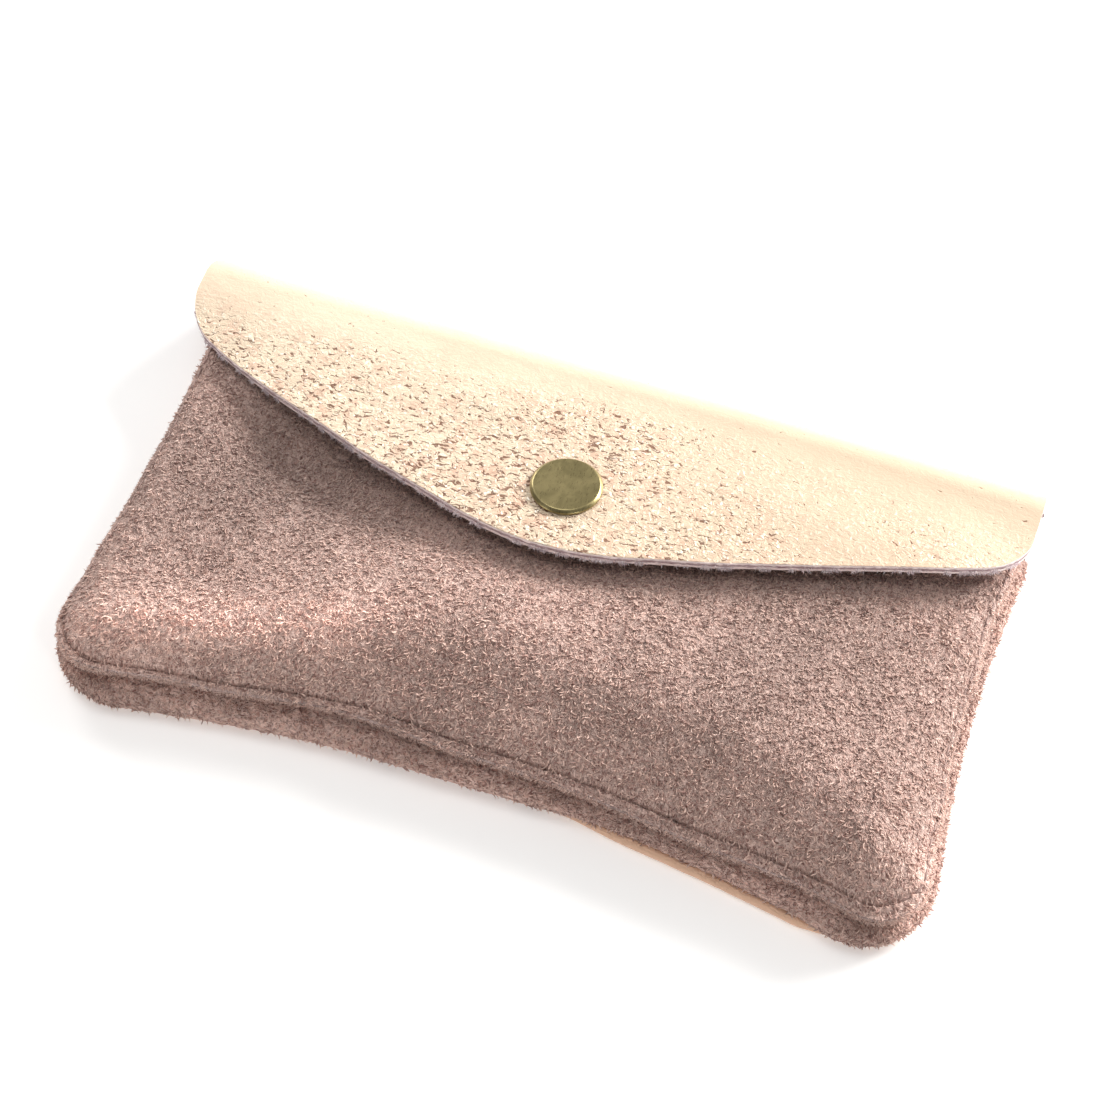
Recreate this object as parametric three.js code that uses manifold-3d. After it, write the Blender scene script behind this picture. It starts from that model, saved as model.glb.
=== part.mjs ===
// A small envelope wallet: a gusseted suede pouch closed by a foiled leather flap and a press stud.
// Millimetres. X runs along the width, Y from the sewn bottom edge to the fold, +Z out of the front.
// The wallet lies on its back panel, and the origin is the middle of its box, on the surface it lies on.
import * as THREE from "three";
import { mergeVertices } from "three/addons/utils/BufferGeometryUtils.js";
import Module from "manifold-3d";

const wasm = await Module();
wasm.setup();

// Leather and clearances
const LEATHER = 1.3;
const GUSSET_LEATHER = 0.9;
const GAP = 0.3; // between sheets that touch

// Front panel as it was cut
const FRONT_HALF_WIDTH = 76;
const FRONT_LOW_Y = -44.3;
const MOUTH_Y = 33.6;
const CORNER = 13;
const BACK_CORNER = 15;
const BACK_PROUD = 1.5; // how far the back panel reaches beyond the front panel's raw edge

// Stuffing has pulled the outline in: narrower at the mouth than below, and in at the middle of each edge.
const MOUTH_HALF_WIDTH = 74.2;
const MOUTH_X = -0.1;
const LOW_HALF_WIDTH = 77.2;
const LOW_X = 1.2;
const PULL_LOW = 7.6;
const PULL_SIDE = 1.8;
const SIDE_MIDDLE_Y = -5;
const SIDE_REACH = 38;

// Front panel's top surface
const SIDE_Z = 8.6;
const LOW_Z = 9.8;
const BULGE_EDGE = 1.2; // bulge near the mouth
const BULGE_MIDDLE = 4.6; // further bulge over the middle of the pouch
const BULGE_Y = -9;
const BULGE_SPREAD = 24;
const BULGE_REACH = 9; // distance from the stitching over which the panel rises

// Seams. Insets are measured inwards from the front panel's raw edge.
const CREASE = 3.2; // where the front panel starts to rise
const STITCHES = 2.4;
const GUSSET_BEND = 5; // where the gusset turns out under the front panel
const BACK_SEAM = -0.3; // where the gusset turns in over the back panel
const FOOT = 4.2; // inner edge of the turned-in foot
const FOOT_STITCHES = 2.4;
const THREAD = 0.4;
const GROOVE = 0.45; // radius of the groove pressed in the back panel for the thread

// Flap and fold
const FLAP_HALF_WIDTH = 76.4;
const FLAP_X = -1.7; // the closed flap sits this far to the left of the middle
const FLAP_TIP_Y = 0.5;
const FLAP_SLOPE = 0.37;
const FLAP_TIP_ROUND = 13;
const FLAP_CORNER = 6;
const FLAP_SWEEP_LEFT = 4; // the ends of its edge turn up towards the fold, more so on the left
const FLAP_SWEEP_RIGHT = 1.2;
const FLAP_RISE = 0.13; // slope of the closed flap over the stuffed pouch
const FLAP_LEAN = 0.03; // its right side stands higher than its left
const FOLD_RADIUS = 5.8; // of the middle of the leather
const FOLD_Y = 44.6 - FOLD_RADIUS - LEATHER / 2;
const FOLD_Z = FOLD_RADIUS + LEATHER / 2;
const PIVOT_ANGLE = Math.PI / 4; // the fold bends at this angle below and above its middle
const PIVOT_CUT = 0.75; // leather left out on each side of a pivot, so that the fold can unroll

// Press stud, 12.5 mm cap
const SNAP_Y = 13.5;
const SNAP_STACK = 3.7; // from the flap's underside to the front panel's top, closed
const SEAT_FLAT = 10; // the stud clamps the leather flat within this radius
const SEAT_REACH = 20;
const SHANK_HOLE = 1.7;

const lerp = THREE.MathUtils.lerp;
const smooth = THREE.MathUtils.smoothstep;

// Bottom edge of a panel as cut, with rounded corners
function lowEdge(x, half, lowest, corner) {
  const d = Math.max(Math.abs(x) - (half - corner), 0);
  return lowest + corner - Math.sqrt(Math.max(corner ** 2 - d ** 2, 0));
}

// A point along the U of the sewn edges: t runs from 0 at the left of the mouth to 1 at its right.
const SIDE_SHARE = 0.26;
const CORNER_SHARE = 0.11;
function along(t, inset, corner) {
  const r = corner - inset;
  const x = FRONT_HALF_WIDTH - corner;
  const y = FRONT_LOW_Y + corner;
  const half = Math.min(t, 1 - t);
  const side = t < 0.5 ? -1 : 1;
  if (half < SIDE_SHARE) return [side * (x + r), lerp(MOUTH_Y, y, half / SIDE_SHARE)];
  const turn = (half - SIDE_SHARE) / CORNER_SHARE;
  if (turn < 1) {
    const angle = (turn * Math.PI) / 2;
    return [side * (x + r * Math.cos(angle)), y - r * Math.sin(angle)];
  }
  const rest = (half - SIDE_SHARE - CORNER_SHARE) / (0.5 - SIDE_SHARE - CORNER_SHARE);
  return [side * lerp(x, 0, rest), y - r];
}

// From the panels as cut to the stuffed pouch
function stuffed(x, y) {
  const fade = downFromMouth(y);
  const low = Math.pow(Math.max(1 - (x / (FRONT_HALF_WIDTH - 6)) ** 2, 0), 1.3);
  const middle = Math.max(1 - ((y - SIDE_MIDDLE_Y) / SIDE_REACH) ** 2, 0);
  const half = lerp(MOUTH_HALF_WIDTH, LOW_HALF_WIDTH, fade) - PULL_SIDE * middle;
  return [
    x * (half / FRONT_HALF_WIDTH) + lerp(MOUTH_X, LOW_X, fade),
    y + PULL_LOW * low * fade ** 2,
  ];
}
function downFromMouth(y) {
  return THREE.MathUtils.clamp((MOUTH_Y - y) / (MOUTH_Y - FRONT_LOW_Y), 0, 1);
}

function distanceFromCrease(x, y) {
  const dx = FRONT_HALF_WIDTH - CREASE - Math.abs(x);
  const dy = y - FRONT_LOW_Y - CREASE;
  const r = CORNER - CREASE;
  const inCorner = dx < r && dy < r;
  return Math.max(inCorner ? r - Math.hypot(r - dx, r - dy) : Math.min(dx, dy), 0);
}

// Height of the front panel's top surface at a point of the panel as cut
function edgeHeight(y) {
  return lerp(SIDE_Z, LOW_Z, downFromMouth(y));
}
function frontHeight(x, y) {
  const bulge = BULGE_EDGE + BULGE_MIDDLE * Math.exp(-(((y - BULGE_Y) / BULGE_SPREAD) ** 2));
  const free = edgeHeight(y) + bulge * (1 - Math.exp(-distanceFromCrease(x, y) / BULGE_REACH));
  const place = stuffed(x, y);
  return lerp(snapPlane(...place) - LEATHER / 2 - SNAP_STACK, free, offSeat(...place));
}

// Middle of the closed flap's leather
function snapPlane(x, y) {
  const top = 2 * FOLD_RADIUS + LEATHER / 2;
  return top + FLAP_RISE * (FOLD_Y - y) + FLAP_LEAN * (x - FLAP_X);
}
function offSeat(x, y) {
  return smooth(Math.hypot(x - FLAP_X, y - SNAP_Y), SEAT_FLAT, SEAT_REACH);
}
function flapHeight(x, y) {
  const top = 2 * FOLD_RADIUS + LEATHER / 2;
  const side = 1 - 0.75 * ((x - FLAP_X) / FLAP_HALF_WIDTH) ** 2;
  const lean = FLAP_LEAN * (x - FLAP_X) * smooth(FOLD_Y - y, 0, 22);
  const free = top + FLAP_RISE * (FOLD_Y - y) * side + lean;
  return lerp(snapPlane(x, y), free, offSeat(x, y));
}
function flapEdge(d) {
  const tip = Math.hypot(d, FLAP_TIP_ROUND) - FLAP_TIP_ROUND;
  const sweep = (d < 0 ? FLAP_SWEEP_LEFT : FLAP_SWEEP_RIGHT) * (d / FLAP_HALF_WIDTH) ** 6;
  return lowEdge(d, FLAP_HALF_WIDTH, FLAP_TIP_Y, FLAP_CORNER) + FLAP_SLOPE * tip + sweep;
}

// A closed sheet on a grid of columns by rows: point(u, v, side) with side -1 or 1 for its two faces.
function gridSheet(columns, rows, point) {
  const g = new THREE.BoxGeometry(1, 1, 1, columns, rows, 1);
  const p = g.attributes.position;
  for (let i = 0; i < p.count; i++) {
    p.setXYZ(i, ...point(p.getX(i) + 0.5, p.getY(i) + 0.5, Math.sign(p.getZ(i))));
  }
  g.computeVertexNormals();
  return g;
}

// A leather sheet around the middle surface middle(u, v)
function leatherSheet(columns, rows, middle) {
  const step = 1e-3;
  return gridSheet(columns, rows, (u, v, side) => {
    const at = new THREE.Vector3(...middle(u, v));
    const du = new THREE.Vector3(...middle(u + step, v)).sub(new THREE.Vector3(...middle(u - step, v)));
    const dv = new THREE.Vector3(...middle(u, v + step)).sub(new THREE.Vector3(...middle(u, v - step)));
    return at.addScaledVector(du.cross(dv).normalize(), (side * LEATHER) / 2);
  });
}

// A strip sewn along the U: profile(t) gives the middle of its leather as points [inset, z, corner].
function seamStrip(columns, rows, thickness, profile) {
  return gridSheet(columns, rows, (t, v, side) => {
    const profileHere = profile(t);
    const points = profileHere.map(([inset, z]) => new THREE.Vector2(inset, z));
    const i = Math.round(v * rows);
    const into = points[i].clone().sub(points[Math.max(i - 1, 0)]).normalize();
    const out = points[Math.min(i + 1, rows)].clone().sub(points[i]).normalize();
    const direction = into.clone().add(out).normalize();
    const mitre = direction.dot(i ? into : out);
    const normal = new THREE.Vector2(-direction.y, direction.x).multiplyScalar(1 / mitre);
    const [inset, z] = points[i].addScaledVector(normal, (side * thickness) / 2);
    return [...stuffed(...along(t, inset, profileHere[i][2])), z];
  });
}

// Booleans
function solidOf(geometry) {
  const bare = geometry.clone();
  bare.deleteAttribute("normal");
  bare.deleteAttribute("uv");
  const merged = mergeVertices(bare, 1e-4);
  return new wasm.Manifold(
    new wasm.Mesh({
      numProp: 3,
      vertProperties: new Float32Array(merged.attributes.position.array),
      triVerts: new Uint32Array(merged.index.array),
    }),
  );
}
function geometryOf(solid) {
  const m = solid.getMesh();
  const g = new THREE.BufferGeometry();
  g.setAttribute("position", new THREE.BufferAttribute(m.vertProperties, 3));
  g.setIndex(new THREE.BufferAttribute(m.triVerts, 1));
  g.computeVertexNormals();
  return g;
}
const cutBy = (a, b) => geometryOf(solidOf(a).subtract(solidOf(b)));

// Materials
function finish(color, roughness, metalness) {
  return new THREE.MeshStandardMaterial({ color, roughness, metalness });
}
const suede = finish("#b39288", 0.95, 0);
const foiled = finish("#f3ddc0", 0.4, 0.25);
const brass = finish("#8f8158", 0.4, 1);
const thread = finish("#a98a80", 0.8, 0);

const wallet = new THREE.Group();
function piece(name, geometry, material, parent = wallet) {
  const mesh = new THREE.Mesh(geometry, material);
  mesh.name = name;
  parent.add(mesh);
}

// Back panel: it lies flat and curls up into the fold.
function backPanel() {
  const arc = PIVOT_ANGLE - PIVOT_CUT / FOLD_RADIUS;
  const arcShare = 0.2;
  const half = FRONT_HALF_WIDTH + BACK_PROUD;
  const plate = leatherSheet(24, 10, (u, v) => {
    const x = half * Math.sin(Math.PI * (u - 0.5));
    const low = lowEdge(x, half, FRONT_LOW_Y - BACK_PROUD, BACK_CORNER);
    const y = lerp(low, FOLD_Y, Math.min(v / (1 - arcShare), 1));
    const [px, py] = stuffed(x, y);
    const atFold = smooth(y, MOUTH_Y - 4, FOLD_Y);
    const across = lerp(px, x * (FLAP_HALF_WIDTH / half) + FLAP_X, atFold);
    if (v < 1 - arcShare) return [across, py, LEATHER / 2];
    const angle = (arc * (v - 1 + arcShare)) / arcShare;
    return [across, FOLD_Y + FOLD_RADIUS * Math.sin(angle), FOLD_Z - FOLD_RADIUS * Math.cos(angle)];
  });
  return cutBy(plate, seamTube(FOOT_STITCHES, BACK_CORNER, GROOVE, () => THREAD / 2));
}

// Gusset: its foot is turned in over the back panel, its wall leans in under the front panel,
// and its raw margin points out.
const FOOT_Z = LEATHER + GAP + GUSSET_LEATHER / 2;
const UNDER_FRONT = LEATHER + GAP + GUSSET_LEATHER / 2;
function gusset() {
  return seamStrip(36, 3, GUSSET_LEATHER, (t) => {
    const top = edgeHeight(along(t, GUSSET_BEND, CORNER)[1]) - UNDER_FRONT;
    return [
      [FOOT, FOOT_Z, BACK_CORNER],
      [BACK_SEAM, FOOT_Z, BACK_CORNER],
      [GUSSET_BEND, top, CORNER],
      [0.2, top, CORNER],
    ];
  });
}

const CLOSER_LOW = 1.4; // its rows lie closer together towards the seam
function frontPanel() {
  const panel = leatherSheet(28, 10, (u, v) => {
    const x = FRONT_HALF_WIDTH * Math.sin(Math.PI * (u - 0.5));
    const y = lerp(lowEdge(x, FRONT_HALF_WIDTH, FRONT_LOW_Y, CORNER), MOUTH_Y, Math.max(v, 0) ** CLOSER_LOW);
    return [...stuffed(x, y), frontHeight(x, y) - LEATHER / 2];
  });
  return cutBy(panel, snapHole());
}

// Flap: it leaves the fold's upper half and runs to an envelope point with a rounded tip.
function flap() {
  const arc = PIVOT_ANGLE - PIVOT_CUT / FOLD_RADIUS;
  const arcShare = 0.2;
  const sheet = leatherSheet(28, 10, (u, v) => {
    const d = FLAP_HALF_WIDTH * Math.sin(Math.PI * (u - 0.5));
    const x = d + FLAP_X;
    if (v < 1 - arcShare) {
      const y = lerp(flapEdge(d), FOLD_Y, v / (1 - arcShare));
      return [x, y, flapHeight(x, y)];
    }
    const angle = (arc * (v - 1 + arcShare)) / arcShare;
    return [x, FOLD_Y + FOLD_RADIUS * Math.sin(angle), FOLD_Z + FOLD_RADIUS * Math.cos(angle)];
  });
  return cutBy(sheet, snapHole());
}

// The strip of the fold between its two pivots
function foldStrip() {
  const end = PIVOT_ANGLE - PIVOT_CUT / FOLD_RADIUS;
  const section = new THREE.Shape();
  section.absarc(0, 0, FOLD_RADIUS + LEATHER / 2, -end, end, false);
  section.absarc(0, 0, FOLD_RADIUS - LEATHER / 2, end, -end, true);
  const strip = new THREE.ExtrudeGeometry(section, {
    depth: 2 * FLAP_HALF_WIDTH,
    curveSegments: 12,
    bevelEnabled: false,
  });
  strip.rotateY(Math.PI / 2).rotateX(Math.PI / 2);
  return strip.translate(FLAP_X - FLAP_HALF_WIDTH, FOLD_Y, FOLD_Z);
}

// A round tube along the U
function seamTube(inset, corner, radius, height) {
  const points = [];
  const steps = 36;
  const end = 0.006;
  for (let i = 0; i <= steps; i++) {
    const [x, y] = along(lerp(end, 1 - end, i / steps), inset, corner);
    points.push(new THREE.Vector3(...stuffed(x, y), height(y)));
  }
  const section = new THREE.Shape();
  section.absarc(0, 0, radius, 0, 2 * Math.PI, false);
  return new THREE.ExtrudeGeometry(section, {
    steps,
    curveSegments: 6,
    extrudePath: new THREE.CatmullRomCurve3(points),
  });
}

// Press stud. Its parts turn about Z in a group that stands square on the clamped leather;
// height 0 is the middle of the flap's leather.
function snapPose(object) {
  const z = snapPlane(FLAP_X, SNAP_Y);
  const normal = new THREE.Vector3(-FLAP_LEAN, FLAP_RISE, 1).normalize();
  object.position.set(FLAP_X, SNAP_Y, z);
  object.quaternion.setFromUnitVectors(new THREE.Vector3(0, 0, 1), normal);
  return object;
}
function turned(profile) {
  const points = profile.map(([r, z]) => new THREE.Vector2(r, z));
  return new THREE.LatheGeometry(points, 24).rotateX(Math.PI / 2);
}
function snapHole() {
  const drill = new THREE.CylinderGeometry(SHANK_HOLE, SHANK_HOLE, 14, 24);
  drill.rotateX(Math.PI / 2).translate(0, 0, -2);
  const pose = snapPose(new THREE.Object3D());
  pose.updateMatrix();
  return drill.applyMatrix4(pose.matrix);
}

const OUT = LEATHER / 2 + GAP; // first height clear above the flap
const PANEL_TOP = -LEATHER / 2 - SNAP_STACK;
const PANEL_UNDER = PANEL_TOP - LEATHER;
const SHANK_END = -1.5;

// Cap with its rolled rim and the shank that rivets through the flap into the socket
function snapCap() {
  return turned([
    [0, SHANK_END],
    [1.3, SHANK_END],
    [1.3, OUT],
    [6.0, OUT],
    [6.25, OUT + 0.2],
    [6.25, OUT + 0.6],
    [5.8, OUT + 0.95],
    [0, OUT + 1.05],
  ]);
}
// Socket, open below for the stud, with a ledge that holds the spring
function snapSocket() {
  const top = -LEATHER / 2 - GAP;
  return turned([
    [1.6, top],
    [1.6, top - 0.6],
    [3.0, top - 0.6],
    [3.0, top - 1.2],
    [3.8, top - 1.2],
    [3.8, top - 2.2],
    [3.25, top - 2.2],
    [3.25, top - 2.5],
    [4.6, top - 2.5],
    [5.4, top - 0.3],
    [5.2, top],
    [1.6, top],
  ]);
}
// Split ring of spring wire that grips the stud's neck
function snapSpring() {
  const open = 0.35;
  const points = [];
  for (let i = 0; i <= 28; i++) {
    const a = lerp(open, 2 * Math.PI - open, i / 28);
    points.push(new THREE.Vector3(3.1 * Math.cos(a), 3.1 * Math.sin(a), -LEATHER / 2 - GAP - 1.7));
  }
  const wire = new THREE.Shape();
  wire.absarc(0, 0, 0.24, 0, 2 * Math.PI, false);
  return new THREE.ExtrudeGeometry(wire, {
    steps: 28,
    curveSegments: 8,
    extrudePath: new THREE.CatmullRomCurve3(points),
  });
}
// Stud on the front panel: a foot, a waist that the spring closes on, and a knob
function snapStud() {
  const foot = PANEL_TOP + GAP;
  return turned([
    [1.6, foot],
    [4.8, foot],
    [4.8, foot + 0.3],
    [2.5, foot + 0.5],
    [2.3, foot + 0.7],
    [2.3, foot + 1.4],
    [2.6, foot + 1.8],
    [2.6, foot + 2.0],
    [2.3, foot + 2.3],
    [1.6, foot + 2.3],
    [1.6, foot],
  ]);
}
// Post: an eyelet whose flange lies inside the pouch and whose barrel rivets up into the stud
function snapPost() {
  const flange = PANEL_UNDER - GAP;
  return turned([
    [0, flange - 0.5],
    [4.4, flange - 0.5],
    [4.5, flange - 0.2],
    [4.3, flange],
    [1.3, flange],
    [1.3, PANEL_TOP + GAP + 2.1],
    [0, PANEL_TOP + GAP + 2.1],
  ]);
}

piece("back_panel", backPanel(), foiled);
piece("gusset", gusset(), suede);
piece("front_panel", frontPanel(), suede);
piece("fold_strip", foldStrip(), foiled);
piece("flap", flap(), foiled);

const lift = THREAD; // a thread's middle stands this far off the leather
const underMargins = UNDER_FRONT + GUSSET_LEATHER / 2 + lift;
const seams = {
  front_seam_needle_thread: [STITCHES, CORNER, (y) => edgeHeight(y) + lift],
  front_seam_bobbin_thread: [STITCHES, CORNER, (y) => edgeHeight(y) - underMargins],
  back_seam_needle_thread: [FOOT_STITCHES, BACK_CORNER, () => FOOT_Z + GUSSET_LEATHER / 2 + lift],
  back_seam_bobbin_thread: [FOOT_STITCHES, BACK_CORNER, () => THREAD / 2 + 0.05],
};
for (const [name, [inset, corner, height]] of Object.entries(seams)) {
  piece(name, seamTube(inset, corner, THREAD / 2, height), thread);
}

const snap = snapPose(new THREE.Group());
wallet.add(snap);
piece("snap_cap", snapCap(), brass, snap);
piece("snap_socket", snapSocket(), brass, snap);
piece("snap_spring", snapSpring(), brass, snap);
piece("snap_stud", snapStud(), brass, snap);
piece("snap_post", snapPost(), brass, snap);

export default wallet;
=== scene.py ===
"""A small envelope wallet: a stuffed suede pouch with a gusset, a foiled leather flap and a press stud.

Lengths in this file are millimetres in the CAD model's frame: X across, Y from the sewn bottom edge
to the fold, Z up from the surface that the wallet lies on. Meshes are scaled to metres as they are made.
"""

import math

import bpy
import numpy as np
from mathutils import Matrix, Vector


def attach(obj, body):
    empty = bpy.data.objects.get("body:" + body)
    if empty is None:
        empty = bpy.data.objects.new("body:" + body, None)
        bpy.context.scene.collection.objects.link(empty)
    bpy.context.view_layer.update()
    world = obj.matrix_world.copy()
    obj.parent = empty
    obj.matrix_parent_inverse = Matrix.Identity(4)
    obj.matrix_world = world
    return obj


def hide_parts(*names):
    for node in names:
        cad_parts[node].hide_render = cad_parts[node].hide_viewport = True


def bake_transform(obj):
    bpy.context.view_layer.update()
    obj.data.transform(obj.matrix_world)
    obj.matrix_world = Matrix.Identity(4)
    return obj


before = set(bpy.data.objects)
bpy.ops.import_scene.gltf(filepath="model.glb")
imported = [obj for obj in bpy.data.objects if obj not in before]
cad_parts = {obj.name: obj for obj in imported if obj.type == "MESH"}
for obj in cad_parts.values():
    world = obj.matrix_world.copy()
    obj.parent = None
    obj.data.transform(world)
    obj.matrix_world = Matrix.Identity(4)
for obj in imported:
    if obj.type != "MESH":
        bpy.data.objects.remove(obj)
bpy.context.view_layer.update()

MM = 0.001

# Leather, as in the CAD model
LEATHER = 1.3
GUSSET_LEATHER = 0.9
GAP = 0.3
HALF_WIDTH = 76.0  # the front panel as cut
LOW_Y = -44.3
MOUTH_Y = 33.6
CORNER = 13.0
BACK_CORNER = 15.0
MOUTH_HALF_WIDTH, MOUTH_X = 74.2, -0.1  # the stuffed pouch
LOW_HALF_WIDTH, LOW_X = 77.2, 1.2
PULL_LOW = 7.6  # how far stuffing draws in the middle of the low edge
PULL_SIDE, PULL_RIGHT = 1.8, 1.0  # and of the sides, with more on the right
SIDE_MIDDLE_Y, SIDE_REACH = -5.0, 38.0
SIDE_Z, LOW_Z = 8.6, 9.8
BULGE_REACH = 9.0  # the front panel rises over this distance from its seam
FOOT, FOOT_STITCHES = 4.2, 2.4
FLAP_HALF_WIDTH, FLAP_X = 76.4, -1.7
FLAP_TIP_Y, FLAP_SLOPE, FLAP_TIP_ROUND, FLAP_CORNER = 0.5, 0.37, 13.0, 6.0
FLAP_SWEEP_LEFT, FLAP_SWEEP_RIGHT = 4.0, 1.2
FLAP_SPREAD = 0.8  # how much farther the flap reaches at each end than the fold's foot
FLAP_RISE, FLAP_LEAN = 0.13, 0.03
FOLD_RADIUS = 5.8
FOLD_Y = 44.6 - FOLD_RADIUS - LEATHER / 2
FOLD_Z = FOLD_RADIUS + LEATHER / 2
FOLD_TOP = 2 * FOLD_RADIUS + LEATHER / 2
SNAP_Y, SNAP_STACK = 13.5, 3.7
SEAT_FLAT, SEAT_REACH = 8.0, 20.0  # the leather is flat round the snap, then bends away
THREAD = 0.4

# Soft detail that the CAD solids leave out
TURN_RADIUS = 0.55  # of the turned edge along the back seam
SKIVED = 0.6  # leather is pared to this where it turns
TURNED_IN = 2.0
STITCH_PITCH = 2.9
SEAM = 1.55  # the front seam's distance from the raw edges
PUCKERS = ((2.3, -27, 15), (1.9, -60, 17))  # where the front seam is drawn up: how far, at x, how wide
CREST_Y = -22  # the crest of what is in the pouch
FLAP_CLEARANCE = 0.5
FLAP_DROOP = 0.5  # of the flap's right end
BACK_BEYOND = 1.4  # how far the back panel stands out beyond the front panel
FOLD_EASE = 2.0  # run over which the flap leaves the fold
FOLD_WAIST = 2.6  # how much shorter the leather is at the back of the fold's left end
GUSSET_LENGTH, GUSSET_WIDTH = 310, 24  # how much of the nap's pattern runs along and across the gusset
GUSSET_FLAT_Y = 90  # where it starts in the pattern
TUFT_LENGTH = 0.95


# -------- numbers

TABLE_SIZE = 256

rng = np.random.default_rng(11)
NOISE_TABLE = rng.uniform(-1, 1, (TABLE_SIZE, TABLE_SIZE))
rng.bit_generator.advance(2 * TABLE_SIZE**2)  # the fibres' random numbers start farther on


def unit(v):
    """Vectors scaled to a length of 1."""
    return v / np.maximum(np.linalg.norm(v, axis=-1, keepdims=True), 1e-12)


def lerp(a, b, t):
    return a + (b - a) * t


def smooth(x, low, high):
    """0 up to low, 1 from high on, and a smooth step between them."""
    t = np.clip((x - low) / (high - low), 0, 1)
    return t * t * (3 - 2 * t)


def bump(x, middle, width):
    """A rounded hump, 1 in its middle."""
    return np.exp(-(((x - middle) / width) ** 2))


def noise(x, y, seed=0):
    """Smooth random heights of about -1 to 1, one lattice step per unit."""
    x = np.asarray(x, float) + 17.3 * seed + 500
    y = np.asarray(y, float) + 9.7 * seed + 500
    xi, yi = np.floor(x).astype(int), np.floor(y).astype(int)
    fx, fy = x - xi, y - yi
    fx, fy = fx * fx * (3 - 2 * fx), fy * fy * (3 - 2 * fy)

    def at(i, j):
        return NOISE_TABLE[(xi + i) % TABLE_SIZE, (yi + j) % TABLE_SIZE]

    return lerp(lerp(at(0, 0), at(1, 0), fx), lerp(at(0, 1), at(1, 1), fx), fy)


def rough(x, y, seed=0, octaves=3):
    """Noise with finer octaves on it."""
    return sum(noise(x * 2.1**k, y * 2.1**k, seed + 3 * k) / 1.9**k for k in range(octaves))


# -------- the pouch's shape


def down_from_mouth(y):
    """0 at the pouch's mouth to 1 at its low edge."""
    return np.clip((MOUTH_Y - y) / (MOUTH_Y - LOW_Y), 0, 1)


def stuffed(x, y):
    """From the panels as cut to the stuffed pouch."""
    fade = down_from_mouth(y)
    low = np.clip(1 - (x / (HALF_WIDTH - 6)) ** 2, 0, None) ** 1.3
    middle = np.clip(1 - ((y - SIDE_MIDDLE_Y) / SIDE_REACH) ** 2, 0, None)
    pull = (PULL_SIDE + PULL_RIGHT * np.clip(x / HALF_WIDTH, 0, 1)) * middle
    half = lerp(MOUTH_HALF_WIDTH, LOW_HALF_WIDTH, fade) - pull
    return (
        x * (half / HALF_WIDTH) + lerp(MOUTH_X, LOW_X, fade),
        y + PULL_LOW * low * fade**2,
    )


def puckered(x, y, share):
    """The front seam is drawn up left of the middle and at its right end, and it wanders. share is
    how much of this a piece follows."""
    low = down_from_mouth(y) ** 6
    draw = sum(far * bump(x, middle, width) for far, middle, width in PUCKERS)
    draw = draw + 1.7 * smooth(x, 28, 60) + 0.5 * noise(x / 11, 0, 2)
    side = np.abs(x / HALF_WIDTH) ** 6
    return (
        x + share * side * 0.45 * noise(y / 9, 1 + np.sign(x), 4),
        y + share * low * draw * (1 - side),
    )


def low_edge(x, half, lowest, corner):
    """The low edge of a panel with rounded corners."""
    d = np.clip(np.abs(x) - (half - corner), 0, None)
    return lowest + corner - np.sqrt(np.clip(corner**2 - d**2, 0, None))


def outside(x, y, half, lowest, corner):
    """Distance outside a panel's outline, less than 0 inside, and the direction out."""
    dx = np.abs(x) - (half - corner)
    dy = (lowest + corner) - y
    both = (dx > 0) & (dy > 0)
    reach = np.hypot(dx, dy)
    distance = np.where(both, reach, np.maximum(dx, dy)) - corner
    nx = np.where(both, dx / np.maximum(reach, 1e-9), (dx >= dy).astype(float))
    ny = np.where(both, dy / np.maximum(reach, 1e-9), (dx < dy).astype(float))
    return distance, np.sign(x) * nx, -ny


def along(t, inset, corner=CORNER):
    """A point on the U of the sewn edges, t from 0 at the left of the mouth to 1 at its right."""
    side_share, corner_share = 0.26, 0.11
    t = np.asarray(t, float)
    half = np.minimum(t, 1 - t)
    r = corner - inset
    x0, y0 = HALF_WIDTH - corner, LOW_Y + corner
    turn = np.clip((half - side_share) / corner_share, 0, 1) * math.pi / 2
    rest = np.clip((half - side_share - corner_share) / (0.5 - side_share - corner_share), 0, 1)
    x = x0 * (1 - rest) + r * np.cos(turn)
    y = lerp(MOUTH_Y, y0, np.clip(half / side_share, 0, 1)) - r * np.sin(turn)
    return np.where(t < 0.5, -x, x), y


def edge_height(y):
    """How high the front panel's sewn edge lies."""
    return lerp(SIDE_Z, LOW_Z, down_from_mouth(y))


def snap_plane(x, y):
    """The plane in which the flap lies round the snap."""
    return FOLD_TOP + FLAP_RISE * (FOLD_Y - y) + FLAP_LEAN * (x - FLAP_X)


def off_seat(x, y):
    """0 at the snap, where the leather is held flat, to 1 away from it."""
    return smooth(np.hypot(x - FLAP_X, y - SNAP_Y), SEAT_FLAT, SEAT_REACH)


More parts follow.
